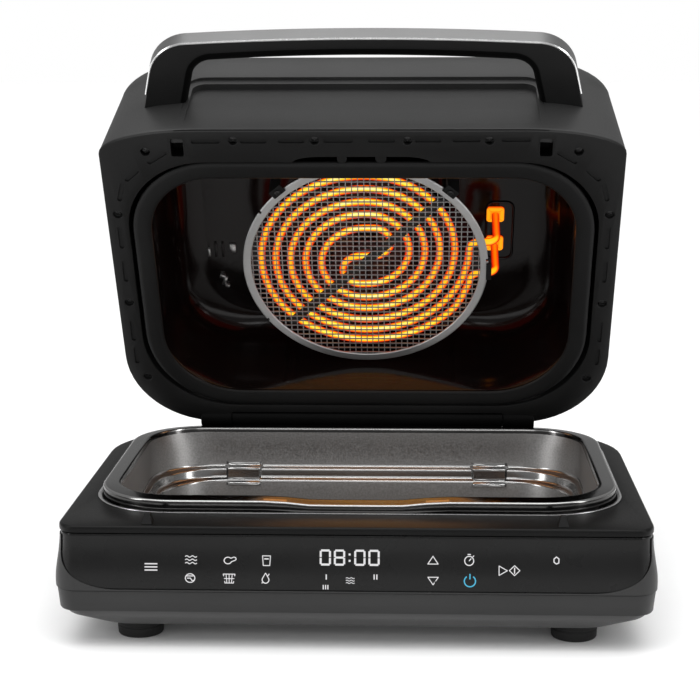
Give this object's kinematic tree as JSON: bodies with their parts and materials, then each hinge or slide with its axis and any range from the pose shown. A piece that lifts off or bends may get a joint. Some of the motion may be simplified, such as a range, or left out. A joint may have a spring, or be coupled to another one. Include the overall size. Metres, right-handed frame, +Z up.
{
  "type": "air fryer grill",
  "caption": "Countertop air fryer grill: a low base with a lift-out steel pot and touch panel, and a deep hinged lid that carries a heater coil, wire guard, fan and motor; lid open.",
  "frame": {"origin": "on the table, under the centre of the whole object's box with the lid open", "axes": "+X to the right seen from the front, +Y to the back where the hinge is, +Z up"},
  "size_m": [0.4456, 0.413, 0.4549],
  "materials": {
    "deck_plastic": "satin moulded plastic",
    "panel_gloss": "high gloss black",
    "casing_plastic": "satin moulded plastic",
    "band_plastic": "satin grey plastic",
    "tray_plastic": "fine grained plastic",
    "sheet_steel": "satin steel sheet",
    "foot_rubber": "matt black rubber",
    "screw_steel": "zinc plated",
    "black_screw": "black",
    "board_green": "solder mask",
    "display_black": "dark lens",
    "relay_blue": "moulded",
    "transformer_yellow": "taped winding",
    "capacitor_blue": "sleeved can",
    "black_plastic": "moulded",
    "bush_plastic": "moulded bearing plastic",
    "lid_plastic": "satin charcoal plastic",
    "frame_plastic": "satin black plastic",
    "seal_rubber": "smooth black silicone",
    "enamel": "glossy dark enamel",
    "pin_steel": "ground steel",
    "handle_metal": "satin grey strip",
    "heater_tube": "glowing hot tube",
    "terminal_metal": "heat tinted plate",
    "guard_steel": "brushed steel",
    "black_metal": "heat blackened",
    "shield_steel": "mill finish sheet",
    "motor_steel": "lacquered",
    "bearing_bronze": "sintered bronze",
    "cutout_ceramic": "ceramic",
    "fan_steel": "pressed steel"
  },
  "bodies": {
    "base": {"top_deck": "deck_plastic", "interlock_lugs": "deck_plastic", "control_panel": "panel_gloss", "rear_casing": "casing_plastic", "grey_band": "band_plastic", "bottom_tray": "tray_plastic", "well_liner": "sheet_steel", "cooking_pot": "sheet_steel", "rubber_feet": "foot_rubber", "foot_screws": "screw_steel", "deck_screws": "screw_steel", "display_module": "display_black", "touch_board": "board_green", "power_board": "board_green", "power_relays": "relay_blue", "transformer": "transformer_yellow", "filter_capacitor": "capacitor_blue", "buzzer": "black_plastic", "board_screws": "screw_steel", "cord_gland": "black_plastic", "hinge_block": "casing_plastic", "hinge_bushes": "bush_plastic"},
    "lid": {"lid_shell": "lid_plastic", "lid_rim_frame": "frame_plastic", "lid_seal": "seal_rubber", "lid_liner": "enamel", "rim_screws": "black_screw", "hinge_pins": "pin_steel", "handle_core": "lid_plastic", "handle_cover": "handle_metal", "handle_screws": "screw_steel", "heating_coil": "heater_tube", "coil_terminals": "terminal_metal", "coil_bar": "black_metal", "guard_ring": "guard_steel", "guard_mesh": "guard_steel", "guard_clips": "black_metal", "clip_screws": "screw_steel", "temperature_probe": "pin_steel", "heat_shield": "shield_steel", "motor_frame": "motor_steel", "motor_posts": "screw_steel", "motor_bearings": "bearing_bronze", "thermal_cutout": "cutout_ceramic", "lid_switch": "black_plastic"},
    "fan": {"fan_impeller": "fan_steel", "motor_shaft": "pin_steel", "motor_rotor": "motor_steel", "cooling_fan": "fan_steel", "fan_nut": "screw_steel"}
  },
  "joints": [
    {"name": "lid_hinge", "type": "hinge", "parent": "base", "child": "lid", "pos_m": [0, 0.11177, 0.109], "axis": [-1, 0, 0], "range_deg": [-60, 0]},
    {"name": "fan_spin", "type": "hinge", "parent": "lid", "child": "fan", "pos_m": [0, 0.11643, 0.27854], "axis": [0, 0.866, 0.5], "continuous": true}
  ]
}
